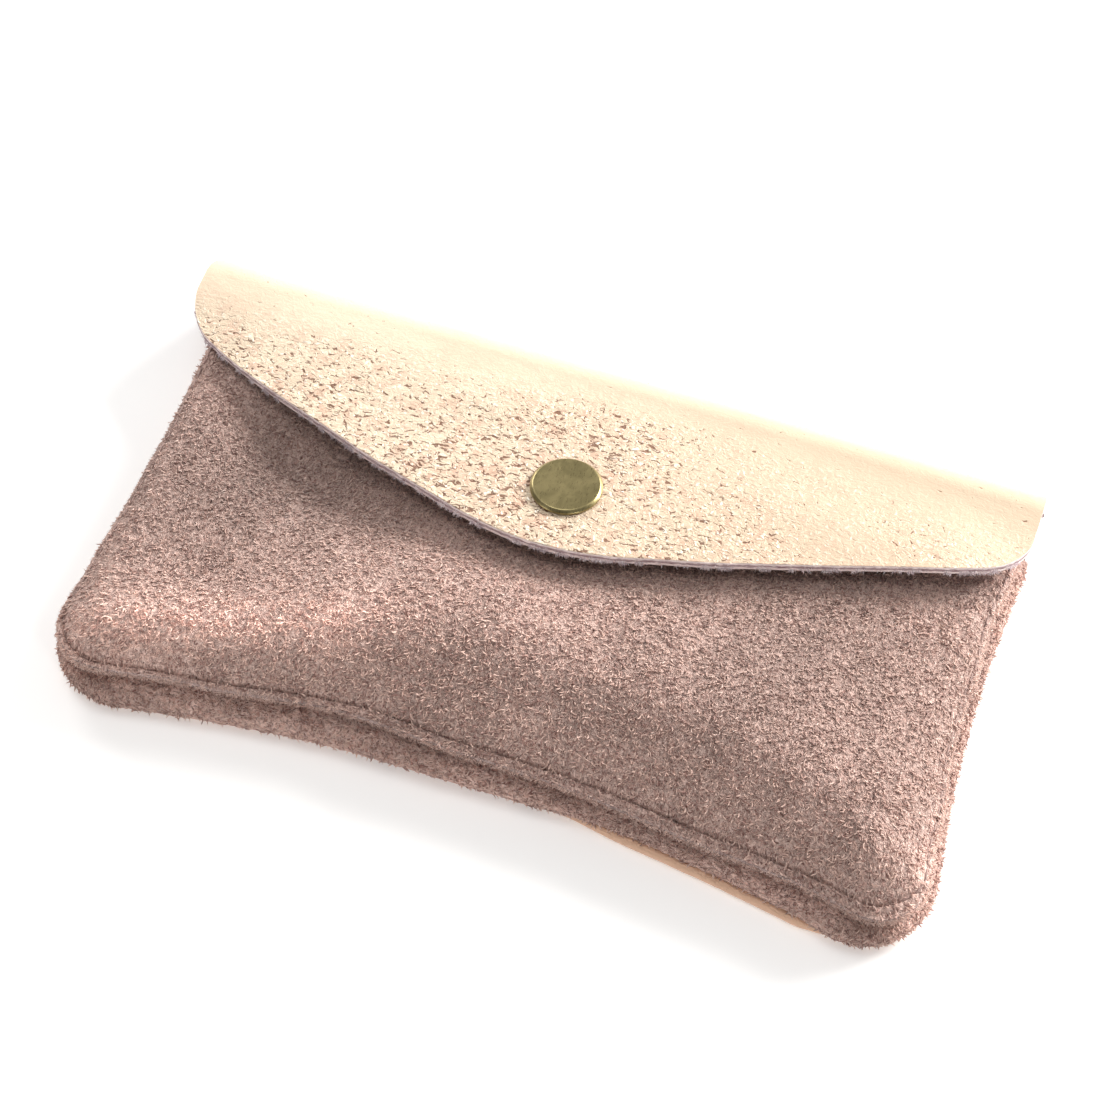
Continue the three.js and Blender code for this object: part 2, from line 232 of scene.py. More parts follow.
def front_height(x, y):
    """Top of the front panel at a point of the panel as cut, with its folds."""
    inset = -outside(x, y, HALF_WIDTH, LOW_Y, CORNER)[0]
    within = np.clip(inset - seam_inset(x, y), 0, None)
    place = stuffed(x, y)
    free = edge_height(y) + contents(x, y) * (1 - np.exp(-within / BULGE_REACH))
    free = free + 1.5 * (1 - np.exp(-within / 2.4)) * lerp(0.4, 1, smooth(MOUTH_Y - y, 8, 26))
    free = free + 0.3 * rough(x / 27, y / 23, 5, 2) * smooth(inset, 3, 16)
    seat = snap_plane(*place) - LEATHER / 2 - SNAP_STACK
    z = lerp(seat, free, off_seat(*place))
    past_flap = flap_edge(place[0] - FLAP_X) - place[1]
    under_flap = flap_height(*place) - LEATHER / 2 - FLAP_CLEARANCE
    z = softly_below(z, under_flap + 4 * smooth(past_flap, 0, 6))
    low = along_bottom(y)
    beyond = smooth(seam_inset(x, y) - inset, 0, 1.8)
    droop = lerp(1.3, 0.6, low) * beyond * (1 + 0.6 * noise(x / 7, y / 7, 8))
    sunk = lerp(0.05, 0.85, low) * bump(inset, seam_inset(x, y), 0.3)
    return z - droop - sunk


def softly_below(z, limit, ease=0.6):
    """z, kept below a limit with a soft bend."""
    over = (z - limit) / ease
    return z - ease * np.logaddexp(0, over)


def contents(x, y):
    """How far what is in the pouch lifts the front panel: a crest that runs down to the lower left
    corner, and a slack hollow behind it on the left."""
    left = smooth(-x, 4, 60)
    crest = CREST_Y - 14.5 * smooth(-x, 8, 70) - 6 * smooth(x, 25, 72)
    width = np.where(y < crest, 13.0, lerp(21.0, 9.0, left))
    slack = bump(x, -50, 24) * bump(y, 8, 15)
    return 1.3 + lerp(4.6, 4.2, left) * bump(y, crest, width) - 4.2 * slack


def seam_inset(x, y):
    """The seam comes nearer the raw edges on the left and up the sides."""
    low = SEAM - 0.4 + 1.1 * smooth(x, -52, -12) + 0.12 * noise(x / 9, y / 9, 14)
    return lerp(0.8, low, along_bottom(y))


def along_bottom(y):
    """1 along the bottom seam, fading to 0 up the sides."""
    return smooth(-y, 33, 41)


def front_point(x, y, depth=0.0):
    """A point of the front panel, at a depth below its top surface."""
    px, py = stuffed(*puckered(x, y, 1.0))
    return np.stack([px, py, front_height(x, y) - depth], -1)


# -------- the back leather's shape


def flap_edge(d):
    """The flap's cut edge, at a distance across from the snap."""
    tip = np.hypot(d, FLAP_TIP_ROUND) - FLAP_TIP_ROUND
    sweep = np.where(d < 0, FLAP_SWEEP_LEFT, FLAP_SWEEP_RIGHT) * (d / FLAP_HALF_WIDTH) ** 6
    wander = 0.25 * noise(d / 9, 3, 6)
    return low_edge(d, FLAP_HALF_WIDTH, FLAP_TIP_Y, FLAP_CORNER) + FLAP_SLOPE * tip + sweep + wander


def flap_height(x, y):
    """Middle of the flap's leather when it is closed."""
    side = 1 - 0.75 * ((x - FLAP_X) / FLAP_HALF_WIDTH) ** 2
    run = np.clip(FOLD_Y - y, 0, None)
    lean = FLAP_LEAN * (x - FLAP_X) * smooth(run, 0, 22)
    eased = run - FOLD_EASE * (1 - np.exp(-run / FOLD_EASE))
    free = FOLD_TOP + FLAP_RISE * eased * side + lean
    free = free + 0.35 * rough(x / 30, y / 17, 9, 2) * smooth(run, 0, 14)
    right_end = smooth(x - FLAP_X, FLAP_HALF_WIDTH - 15, FLAP_HALF_WIDTH)
    droop = FLAP_DROOP * right_end * smooth(run, 0, 9)
    return lerp(snap_plane(x, y), free - droop, off_seat(x, y))


BACK_HALF_WIDTH = HALF_WIDTH + BACK_BEYOND  # outline of the back panel after its edge is turned
BACK_LOW_Y = LOW_Y - BACK_BEYOND
MARGIN = math.pi * TURN_RADIUS - TURN_RADIUS + TURNED_IN


def back_edge_shows(x, y):
    """The turned edge of the back shows under the gusset along the right of the bottom only."""
    return smooth(x, 8, 28) * (1 - smooth(x, 55, 65)) * smooth(-y, 34, 40)


def back_point(d, v):
    """Middle of the back panel's leather, d from -1 to 1 across and v from 0 at its low edge to 1 at
    the fold, and its thickness. Its sewn edges are pared thin and turned in on top of it."""
    half, lowest = BACK_HALF_WIDTH + MARGIN, BACK_LOW_Y - MARGIN
    low = low_edge(half * d, half, lowest, BACK_CORNER + MARGIN)
    y = lerp(low, FOLD_Y, v**1.15)
    raw = smooth(y, MOUTH_Y - 7, FOLD_Y - 0.5)
    x = d * lerp(half, FLAP_HALF_WIDTH, raw)
    roll_line = BACK_HALF_WIDTH - TURN_RADIUS, BACK_LOW_Y + TURN_RADIUS, BACK_CORNER - TURN_RADIUS
    beyond, nx, ny = outside(x, y, *roll_line)
    thickness = lerp(LEATHER, SKIVED, smooth(beyond, -5, -1) * (1 - raw))
    s = np.clip(beyond, 0, None)
    turn = np.clip(s / TURN_RADIUS, 0, math.pi)
    out = TURN_RADIUS * np.sin(turn) - np.clip(s - math.pi * TURN_RADIUS, 0, None)
    z = thickness / 2 + TURN_RADIUS * (1 - np.cos(turn)) + 0.1 * (turn > 0) * smooth(s, 0, 1)
    tuck = 1.5 * smooth(beyond, -12, 0) * (1 - raw) * (1 - back_edge_shows(x, y))
    px, py = stuffed(x + nx * (out - s - tuck), y + ny * (out - s - tuck))
    at_fold = smooth(y, MOUTH_Y - 4, FOLD_Y)
    px = lerp(px, d * FLAP_HALF_WIDTH + FLAP_X, at_fold)
    return np.stack([px, py, z], -1), thickness, np.stack([x, y], -1)


def fold_point(d, v):
    """Middle of the folded leather, v from 0 at the back panel to 1 at the flap."""
    x = d * FLAP_HALF_WIDTH
    angle = math.pi * v
    radius = FOLD_RADIUS + 0.12 * noise(x / 14, 0, 12) * np.sin(angle)
    y = FOLD_Y + radius * np.sin(angle)
    z = FOLD_Z - radius * np.cos(angle)
    flat = np.stack([x, FOLD_Y + FOLD_RADIUS * angle], -1)
    waist = FOLD_WAIST * np.clip(-d, 0, 1) ** 6 * np.sin(angle) ** 2
    spread = d * FLAP_SPREAD * smooth(v, 0.3, 0.9) + waist
    return np.stack([x + FLAP_X + spread, y, z], -1), LEATHER + 0 * x, flat


def flap_point(d, v):
    """Middle of the flap's leather, v from 0 at the fold to 1 at its cut edge."""
    x = d * FLAP_HALF_WIDTH
    y = lerp(FOLD_Y, flap_edge(x), v)
    z = flap_height(x + FLAP_X, y)
    flat = np.stack([x, 2 * FOLD_Y + math.pi * FOLD_RADIUS - y], -1)
    return np.stack([x + FLAP_X + d * FLAP_SPREAD, y, z], -1), LEATHER + 0 * x, flat


def leather_point(d, s):
    """Middle of the one piece of back leather: s is 0 to 1 on the back, to 2 round the fold, to 3 on
    the flap."""
    shapes = back_point, fold_point, flap_point
    stretches = [shape(d, np.clip(s - k, 0, 1)) for k, shape in enumerate(shapes)]
    result = []
    for on_back, on_fold, on_flap in zip(*stretches):
        at = s.reshape(s.shape + (1,) * (on_back.ndim - s.ndim))
        result.append(np.where(at <= 1, on_back, np.where(at <= 2, on_fold, on_flap)))
    return result


def foil_relief(flat):
    """Wrinkled grain that shows through the foil, finest and lowest where the leather is stretched."""
    x, y = flat[..., 0], flat[..., 1]
    wrinkle = 1 - 2 * np.abs(rough(x / 2.6 + 0.4 * noise(x / 3, y / 3, 21), y / 1.3, 22, 2))
    return 0.045 * wrinkle * grain_strength(x, y) + 0.03 * rough(x / 3.7, y / 2.6, 24, 2)


def grain_strength(x, y):
    """How strongly the grain shows: least round the fold and on the right, most left of the snap."""
    fold_flat_y = FOLD_Y + math.pi * FOLD_RADIUS / 2
    run = np.abs(y - fold_flat_y)
    grown = smooth(run, 6 + 0.03 * np.abs(x), 18 + 0.07 * np.abs(x))
    left_of_snap = np.hypot((x + 14) / 24, (y - 2 * FOLD_Y - math.pi * FOLD_RADIUS + SNAP_Y) / 14)
    rubbed = np.exp(-(left_of_snap**2))
    side = 1 - 0.28 * smooth(x, 0, 50)
    return np.clip(grown * side * (0.75 + 0.25 * noise(x / 13, y / 9, 25)) + 0.45 * rubbed, 0, 1.2)


# -------- meshes


def painted_light_and_shade(x, y):
    """Painted light and shade on the suede: a painted highlight along the ridge and up the right side,
    and painted shade in the hollow beside the flap, right of the middle and in the low corners."""
    ridge = bump(y, -33 + 0.33 * (x + 57), 5) * smooth(-x, 10, 34) * smooth(x, -76, -66)
    hollow = bump(x, -54, 22) * bump(y, 0, 19)
    right_side = smooth(x, 72, 75.5) * (y < MOUTH_Y)
    right_middle = bump(x, 46, 28) * bump(y, -8, 20)
    corners = smooth(-y, 42, 43)
    light = 0.6 * ridge + 0.2 * right_side
    return 1 + light - 0.38 * hollow - 0.27 * right_middle - 0.15 * corners


def new_object(name, vertices, faces, materials, face_materials=None, flat=None):
    """A smooth-shaded object. flat gives each vertex's place on the leather as cut, for its grain."""
    mesh = bpy.data.meshes.new(name)
    mesh.from_pydata((np.asarray(vertices) * MM).tolist(), [], faces)
    mesh.update()
    for m in materials:
        mesh.materials.append(m)
    if face_materials is not None:
        mesh.polygons.foreach_set("material_index", np.asarray(face_materials, np.int32))
    mesh.polygons.foreach_set("use_smooth", np.ones(len(mesh.polygons), bool))
    places = np.asarray(vertices if flat is None else flat, np.float32)
    for key, kind, field, values in (
        ("flat", "FLOAT_VECTOR", "vector", places),
        ("grain", "FLOAT", "value", grain_strength(places[:, 0], places[:, 1])),
        # tone is the painted light and shade, multiplied into the suede and its fibres
        ("tone", "FLOAT", "value", painted_light_and_shade(*np.asarray(vertices)[:, :2].T)),
    ):
        data = mesh.attributes.new(key, kind, "POINT").data
        data.foreach_set(field, np.asarray(values, np.float32).ravel())
    obj = bpy.data.objects.new(name, mesh)
    bpy.context.scene.collection.objects.link(obj)
    return obj


def grid_faces(rows, columns, start=0, flip=False):
    """Quads over a grid of rows by columns points, numbered from start."""
    i = np.arange((rows - 1) * (columns - 1))
    a = start + (i // (columns - 1)) * columns + i % (columns - 1)
    quads = np.stack([a, a + columns, a + columns + 1, a + 1], -1)
    return quads[:, ::-1] if flip else quads


def grid_normals(p):
    """Unit normals of a grid of points, first axis cross second axis."""
    return unit(np.cross(np.gradient(p, axis=0), np.gradient(p, axis=1)))


def closed_sheet(name, outer, inner, flat, materials, flip=False, joins=(False, False), **edge):
    """A closed sheet of leather between two grids of points, its outer and its inner face.

    materials are for its outer face, its inner face and its cut edge. joins says whether its first
    and last columns meet another sheet, so that they are left square. edge shapes its cut edge."""
    nu, nv = outer.shape[:2]
    along_u, along_v = np.arange(nu), np.arange(1, nv - 1)
    ring_u = np.r_[along_u, np.full(nv - 2, nu - 1), along_u[::-1], np.zeros(nv - 2, int)]
    ring_v = np.r_[np.zeros(nu, int), along_v, np.full(nu, nv - 1), along_v[::-1]]
    inward_u = np.clip(ring_u, 1, nu - 2)
    inward_v = np.clip(ring_v, 1 - joins[0], nv - 2 + joins[1])
    away = unit(outer[ring_u, ring_v] - outer[inward_u, inward_v])
    rims, inner = cut_rim(outer, inner, flat, ring_u, ring_v, away, **edge)
    flat3 = np.concatenate([flat, np.zeros((nu, nv, 1))], -1)
    rim_flats = [flat3[ring_u, ring_v] + [0, 0, 0.3 * (k + 1)] for k in range(len(rims))]
    vertices = np.concatenate([outer.reshape(-1, 3), inner.reshape(-1, 3), *rims])
    flats = np.concatenate([flat3.reshape(-1, 3), flat3.reshape(-1, 3) + [0, 0, 7], *rim_flats])
    count, ring = nu * nv, len(ring_u)
    on_grid = ring_u * nv + ring_v
    rim_loops = [2 * count + k * ring + np.arange(ring) for k in range(len(rims))]
    loops = [on_grid, *rim_loops, on_grid + count]
    sides = []
    for a, b in zip(loops[:-1], loops[1:]):
        quads = np.stack([a, b, np.roll(b, -1), np.roll(a, -1)], -1)
        sides.append(quads[:, ::-1] if flip else quads)
    top = grid_faces(nu, nv, 0, flip)
    bottom = grid_faces(nu, nv, count, not flip)
    faces = np.concatenate([top, bottom, *sides])
    kinds = np.r_[np.zeros(len(top)), np.ones(len(bottom)), np.full(ring * len(sides), 2)]
    return new_object(name, vertices, faces.tolist(), materials, kinds, flats)


def cut_rim(outer, inner, flat, ring_u, ring_v, away, rim=0.16, fray=0.0, flare=0.0):
    """Loops of points round a sheet's cut edge, from its outer to its inner face, and the inner face
    drawn out to meet them. fray roughens the cut, and flare makes it show under the outer face."""
    high, low = outer[ring_u, ring_v], inner[ring_u, ring_v]
    u, v = (4 * flat[ring_u, ring_v] / 3).T
    rims = []
    for k, share in enumerate((0.12, 0.32, 0.52, 0.72, 0.9)):
        torn = fray * rough(u, v + 3 * k, 31, 3)
        push = rim * (1 - (2 * share - 1) ** 2) + flare * smooth(share, 0.1, 0.7) + torn
        rims.append(lerp(high, low, share) + away * push[:, None])
    inner = inner.copy()
    inner[ring_u, ring_v] += away * flare * 0.9
    return rims, inner


def keep_normals(obj, at, normals):
    """Shades some of a mesh's vertices by given normals, so that it runs smoothly into its neighbour."""
    kept = np.zeros((len(obj.data.vertices), 3))
    kept[at] = normals
    obj.data.normals_split_custom_set_from_vertices(kept.tolist())


def tube(points, radius, sides, tip):
    """Vertices and faces of a closed tube along points, its ends rounded off."""
    points = np.asarray(points, float)
    tangent = unit(np.gradient(points, axis=0))
    aside = unit(np.cross(tangent, [0.12, 0.07, 1.0]))
    up = np.cross(aside, tangent)
    a = np.arange(sides) * 2 * math.pi / sides
    taper = np.ones(len(points))
    taper[[0, -1]] = tip
    rings = points[:, None] + (radius * taper)[:, None, None] * (
        np.cos(a)[None, :, None] * aside[:, None] + np.sin(a)[None, :, None] * up[:, None]
    )
    faces = []
    for i in range(len(points) - 1):
        for j in range(sides):
            k = (j + 1) % sides
            faces.append((i * sides + j, i * sides + k, (i + 1) * sides + k, (i + 1) * sides + j))
    faces.append(tuple(range(sides))[::-1])
    faces.append(tuple((len(points) - 1) * sides + j for j in range(sides)))
    return rings.reshape(-1, 3), faces


def joined(parts):
    """Vertices and faces of many small meshes as one."""
    vertices, faces, start = [], [], 0
    for v, f in parts:
        vertices.append(v)
        faces += [tuple(start + k for k in face) for face in f]
        start += len(v)
    return np.concatenate(vertices), faces


def stitches(name, path, dip):
    """A run of separate stitches along path(t), each diving into the leather at its ends."""
    t = np.linspace(0.004, 0.996, 1500)
    points = path(t)
    length = np.r_[0, np.cumsum(np.linalg.norm(np.diff(points, axis=0), axis=1))]
    count = int(length[-1] / STITCH_PITCH)
    parts = []
    for k in range(count):
        s = (k + np.linspace(0.06, 0.94, 8)) * length[-1] / count
        centre = np.stack([np.interp(s, length, points[:, i]) for i in range(3)], -1)
        dive = np.abs(np.linspace(-1, 1, 8)) ** 4
        parts.append(tube(centre + dive[:, None] * [0, 0, dip], THREAD / 2, 7, 0.7))
    return new_object(name, *joined(parts), [THREAD_FINISH])


SLIM = ((-0.15, 1.0), (0.5, 0.7))  # sections of a fibre, as [share of its length, share of its radius]
PLUMP = ((-0.1, 0.8), (0.35, 1.05), (0.8, 0.85))


def fibres(name, roots, directions, length, radius, material, curl=0.35, sections=SLIM):
    """Loose fibres or matted tufts: small bent closed cones standing on roots."""
    count, rings = len(roots), len(sections)
    d = unit(directions)
    aside = unit(np.cross(d, rng.normal(size=(count, 3))))
    up = np.cross(d, aside)
    reach = length * rng.uniform(0.35, 1.0, count)[:, None]
    thick = radius * rng.uniform(0.6, 1.2, count)[:, None]
    bend = aside * reach * curl
    points = []
    for share, size in sections:
        centre = roots + d * reach * share + bend * share**2
        for a in (0, 2 * math.pi / 3, 4 * math.pi / 3):
            points.append(centre + thick * size * (math.cos(a) * aside + math.sin(a) * up))
    points.append(roots + d * reach + bend)
    vertices = np.stack(points, 1).reshape(-1, 3)
    last = 3 * (rings - 1)
    one = [(2, 1, 0)] + [(last + i, last + (i + 1) % 3, last + 3) for i in range(3)]
    for i in range(0, last, 3):
        one += [(i, i + 1, i + 4, i + 3), (i + 1, i + 2, i + 5, i + 4), (i + 2, i, i + 3, i + 5)]
    each = last + 4
    faces = [tuple(each * k + i for i in face) for k in range(count) for face in one]
    return new_object(name, vertices, faces, [material])


def rounded(profile, radius=0.1, steps=3):
    """A profile of [r, z] points with its corners rounded, apart from those on the axis."""
    points = [np.array(p, float) for p in profile]
    closed = np.allclose(points[0], points[-1])
    result = []
    for i, p in enumerate(points):
        before = points[i - 1] if i else (points[-2] if closed else p)
        after = points[i + 1] if i < len(points) - 1 else (points[1] if closed else p)
        a, b = before - p, after - p
        la, lb = np.linalg.norm(a), np.linalg.norm(b)
        if la < 1e-9 or lb < 1e-9 or p[0] < 1e-9:
            result.append(p)
            continue
        r = min(radius, 0.4 * la, 0.4 * lb)
        start, end = p + a / la * r, p + b / lb * r
        for s in np.linspace(0, 1, steps + 1):
            result.append((1 - s) ** 2 * start + 2 * s * (1 - s) * p + s**2 * end)
    return np.array(result)


def turned_piece(name, profile, material, pose, segments=72):
    """A turned solid about the press stud's axis, its profile running anticlockwise."""
    points = rounded(profile)
    a = np.arange(segments) * 2 * math.pi / segments
    vertices, rings = [], []
    for r, z in points:
        start = len(vertices)
        if r < 1e-9:
            vertices.append((0, 0, z))
            rings.append([start] * segments)
        else:
            vertices += [(r * math.cos(x), r * math.sin(x), z) for x in a]
            rings.append(list(range(start, start + segments)))
    faces = []
    for low, high in zip(rings[:-1], rings[1:]):
        for j in range(segments):
            k = (j + 1) % segments
            face = [low[j], low[k], high[k], high[j]]
            faces.append(tuple(dict.fromkeys(face)))
    local = np.array(vertices)
    if points[0][0] > 1e-9:
        ends = len(vertices) - segments
        faces = [tuple(i - ends if i >= ends else i for i in face) for face in faces]
        local = local[:ends]
    world = [pose @ Vector(v) for v in local]
    return new_object(name, world, faces, [material], flat=local)


# -------- materials


class Shader:
    """A material's or world's nodes, made one by one: inputs are values or other nodes' sockets."""

    def __init__(self, owner):
        self.owner = owner
        self.owner.use_nodes = True
        self.tree = self.owner.node_tree
        self.tree.nodes.clear()

    def node(self, kind, inputs=None, **settings):
        made = self.tree.nodes.new("ShaderNode" + kind)
        for key, value in settings.items():
            setattr(made, key, value)
        for key, value in (inputs or {}).items():
            if isinstance(value, bpy.types.NodeSocket):
                self.tree.links.new(value, made.inputs[key])
            else:
                made.inputs[key].default_value = value
        return made

    def math(self, operation, a, b=0.0):
        return self.node("Math", {0: a, 1: b}, operation=operation).outputs[0]

    def place(self):
        """Where a point is on the leather as cut, in millimetres."""
        return self.node("Attribute", attribute_name="flat").outputs["Vector"]

    def brushed_nap_and_painted_light(self):
        """The painted light and shade at that point, from the tone attribute."""
        return self.node("Attribute", attribute_name="tone").outputs["Fac"]

    def shaded(self, colour, level):
        grey = self.node("CombineColor", {0: level, 1: level, 2: level}).outputs[0]
        return self.mix(1.0, colour, grey, "MULTIPLY")

    def scaled(self, vector, scale, rotation=0.0):
        inputs = {"Vector": vector, "Scale": scale, "Rotation": (0, 0, rotation)}
        return self.node("Mapping", inputs).outputs[0]

    def noise(self, vector, scale, detail=2.0, roughness=0.5, distortion=0.0):
        inputs = {"Vector": vector, "Scale": scale, "Detail": detail}
        inputs |= {"Roughness": roughness, "Distortion": distortion}
        return self.node("TexNoise", inputs).outputs["Fac"]

    def ramp(self, value, low, high, to_low=0.0, to_high=1.0):
        inputs = {"Value": value, "From Min": low, "From Max": high, "To Min": to_low, "To Max": to_high}
        return self.node("MapRange", inputs, interpolation_type="SMOOTHSTEP").outputs[0]

    def mix(self, share, a, b, blend_type="MIX"):
        colours = {0: share, 6: a, 7: b}  # the mix node's colour sockets
        return self.node("Mix", colours, data_type="RGBA", blend_type=blend_type).outputs[2]

    def bump(self, height, distance, strength=1.0):
        inputs = {"Height": height, "Distance": distance * MM, "Strength": strength}
        return self.node("Bump", inputs).outputs[0]

    def finish(self, **inputs):
        named = {key.replace("_", " "): value for key, value in inputs.items()}
        surface = self.node("BsdfPrincipled", named).outputs[0]
        self.node("OutputMaterial", {"Surface": surface})
        return self.owner


def new_shader(name):
    return Shader(bpy.data.materials.new(name))


def srgb(r, g, b):
    """Linear colour with alpha from 8-bit sRGB."""
    shares = r / 255, g / 255, b / 255
    linear = [c / 12.92 if c <= 0.04045 else ((c + 0.055) / 1.055) ** 2.4 for c in shares]
    return (*linear, 1.0)


def suede(name, dark, middle, light, patchy=1.0):
    """Napped leather: a felt of curled fibres over darker gaps, brushed lighter in patches, with painted
    light and shade multiplied over it.
    """
    s = new_shader(name)
    place = s.place()
    drift = s.node("TexNoise", {"Vector": place, "Scale": 0.5, "Detail": 2.0}).outputs["Color"]
    warped = s.node("VectorMath", {0: place, 1: drift}, operation="ADD").outputs[0]
    felt = []
    for scale, turn in ((1.15, 0.5), (1.6, -0.7)):
        strands = s.noise(s.scaled(warped, (scale, scale * 0.7, 1.0), turn), 1.0, 1.5, 0.5, 1.2)
        ridge = s.math("ABSOLUTE", s.math("SUBTRACT", strands, 0.5))
        felt.append(s.ramp(ridge, 0.0, 0.09, 1.0, 0.0))
    curls = s.math("MAXIMUM", felt[0], s.math("MULTIPLY", felt[1], 0.8))
    flecks = s.noise(warped, 1.5, 3.0, 0.65, 0.5)
    patches = s.noise(place, 0.05, 3.0, 0.6, 0.4)
    brushed_nap_and_painted_light = s.noise(s.scaled(place, (1.0, 0.35, 1.0), 0.5), 0.13, 2.0, 0.5, 0.3)
    colour = s.mix(s.ramp(flecks, 0.36, 0.62), dark, middle)
    colour = s.mix(s.math("MULTIPLY", curls, 0.6), colour, light)
    tone = s.math("ADD", s.math("MULTIPLY", patches, 0.6), s.math("MULTIPLY", brushed_nap_and_painted_light, 0.4))
    level = 0.16 * patchy
    colour = s.shaded(colour, s.ramp(tone, 0.35, 0.65, 1 - level, 1 + level))
    # Painted light and shade from the tone attribute.
    colour = s.shaded(colour, s.brushed_nap_and_painted_light())
    height = s.math("ADD", flecks, s.math("MULTIPLY", curls, 0.6))
    return s.finish(
        Base_Color=colour,
        Roughness=0.95,
        Specular_IOR_Level=0.1,
        Sheen_Weight=0.25,
        Sheen_Roughness=0.4,
        Sheen_Tint=light,
        Normal=s.bump(height, 0.42, 0.9),
    )


def foiled():
    """Leather with a pale champagne foil over its grain, worn through in short creases that are painted
    dark as their shade, with painted highlights on its pebbles and painted shade towards its right.
    """
    s = new_shader("crackled_champagne_foil")
    place = s.place()
    wander = s.node("TexNoise", {"Vector": place, "Scale": 0.6, "Detail": 2.0}).outputs["Color"]
    wander = s.node("VectorMath", {0: wander, 3: 1.6}, operation="SCALE").outputs[0]
    warped = s.node("VectorMath", {0: place, 1: wander}, operation="ADD").outputs[0]
    relaxed = s.node("Attribute", attribute_name="grain").outputs["Fac"]
    folds = s.noise(s.scaled(warped, (0.85, 1.7, 1.0), 0.2), 1.0, 2.0, 0.55, 0.8)
    depth = s.math("SUBTRACT", folds, s.ramp(relaxed, 0.0, 1.2, 0.28, 0.435))
    creases = s.ramp(depth, -0.05, 0.02, 1.0, 0.0)
    pebbles = s.noise(s.scaled(warped, (1.0, 1.4, 1.0)), 1.2, 3.0, 0.6, 0.6)
    veins = s.math("ABSOLUTE", s.math("SUBTRACT", pebbles, 0.5))
    veins = s.math("MULTIPLY", s.ramp(veins, 0.0, 0.025, 1.0, 0.0), s.ramp(relaxed, 0.0, 0.8, 0.12, 0.4))
    worn = s.noise(place, 0.06, 3.0, 0.6, 0.5)
    blotch = s.math("MULTIPLY", s.ramp(s.noise(place, 0.35, 3.0, 0.6), 0.45, 0.65), relaxed)
    # Painted shade: the foil is painted darker towards the right, where the window behind lights it
    # most.
    darker_to_right_painted_shade = s.ramp(s.node("SeparateXYZ", {0: place}).outputs[0], -55, 60)
    foil = s.mix(darker_to_right_painted_shade, srgb(230, 212, 187), srgb(204, 184, 159))
    foil = s.mix(s.ramp(worn, 0.3, 0.7, 0.0, 0.3), foil, srgb(214, 184, 160))
    foil = s.mix(s.math("MULTIPLY", blotch, 0.5), foil, srgb(212, 166, 144))
    # Painted highlight: the tops of the pebbles are painted near white where the grain is strong.
    foil = s.mix(s.math("MULTIPLY", s.ramp(pebbles, 0.58, 0.68), relaxed), foil, srgb(255, 246, 232))
    foil = s.mix(veins, foil, srgb(196, 148, 120))
    # Painted shade: the creases are painted dark brown as their shadow; their metallic shine is taken
    # off below.
    colour = s.mix(s.math("MULTIPLY", creases, 0.92), foil, srgb(122, 84, 64))
    turned = s.ramp(s.node("SeparateXYZ", {0: place}).outputs[1], -41.5, -43.5)
    colour = s.mix(turned, colour, srgb(226, 186, 158))
    height = s.math("SUBTRACT", s.math("MULTIPLY", pebbles, 1.2), s.math("MULTIPLY", creases, 0.6))
    height = s.math("ADD", height, s.math("MULTIPLY", folds, 0.5))
    shine = s.ramp(relaxed, 0.0, 0.9, 0.1, 0.3)
    return s.finish(
        Base_Color=colour,
        Metallic=s.math("MULTIPLY", s.math("SUBTRACT", 1.0, creases), shine),
        Roughness=s.ramp(pebbles, 0.3, 0.7, 0.54, 0.38),
        Specular_IOR_Level=0.3,
        Normal=s.bump(height, 0.3, s.ramp(relaxed, 0.0, 1.0, 0.25, 1.0)),
    )


def cut_edge():
    """Raw cut edge of the leather: a dark frayed line between two pale ones."""
    s = new_shader("cut_leather_edge")
    place = s.place()
    lines = s.noise(s.scaled(place, (0.35, 0.35, 3.0)), 2.2, 3.0, 0.6, 0.4)
    across_cut = s.node("SeparateXYZ", {0: place}).outputs[2]
    frayed = s.math("ADD", across_cut, s.ramp(lines, 0.3, 0.7, -0.15, 0.15))
    pale = s.ramp(s.math("ABSOLUTE", s.math("SUBTRACT", frayed, 0.7)), 0.12, 0.34)
    core = s.mix(pale, srgb(138, 108, 110), srgb(255, 240, 236))
    colour = s.mix(s.ramp(lines, 0.3, 0.7, 0.0, 0.5), core, srgb(226, 204, 204))
    return s.finish(Base_Color=colour, Roughness=0.9, Sheen_Weight=0.1, Normal=s.bump(lines, 0.2, 0.7))


def brass(name, dull, bright, tarnish=1.0, roughness=0.3):
    """Antiqued brass with fine polishing marks, brighter where it is rubbed."""
    s = new_shader(name)
    place = s.place()
    marks = s.noise(s.scaled(place, (3.0, 0.6, 1.0), 0.6), 2.0, 4.0, 0.6)
    cloud = s.noise(place, 0.32, 4.0, 0.6, 0.4)
    stained = s.ramp(cloud, 0.35, 0.68, 0.0, 0.8 * tarnish)
    colour = s.mix(stained, bright, dull)
    return s.finish(
        Base_Color=colour,
        Metallic=1.0,
        Roughness=s.ramp(marks, 0.2, 0.8, roughness - 0.06, roughness + 0.12),
        Normal=s.bump(marks, 0.02, 0.25),
    )


def thread_finish():
    """Dull twisted thread."""
    s = new_shader("twisted_thread")
    place = s.place()
    ply = s.node("TexWave", {"Vector": place, "Scale": 1.6, "Distortion": 0.6}).outputs["Fac"]
    colour = s.mix(ply, srgb(126, 98, 92), srgb(178, 148, 138))
    return s.finish(Base_Color=colour, Roughness=0.75, Sheen_Weight=0.3, Normal=s.bump(ply, 0.06, 0.6))


def fibre_finish(name, colour, shade):
    """Loose fibres of nap, each a little lighter or darker than the next, with the same painted light
    and shade as the suede.
    """
    s = new_shader(name)
    tone = s.noise(s.place(), 1.3, 2.0)
    # The colour carries the painted light and shade of the tone attribute.
    return s.finish(
        Base_Color=s.shaded(s.mix(s.ramp(tone, 0.35, 0.65), colour, shade), s.brushed_nap_and_painted_light()),
        Roughness=0.9,
        Specular_IOR_Level=0.1,
        Sheen_Weight=0.3,
    )


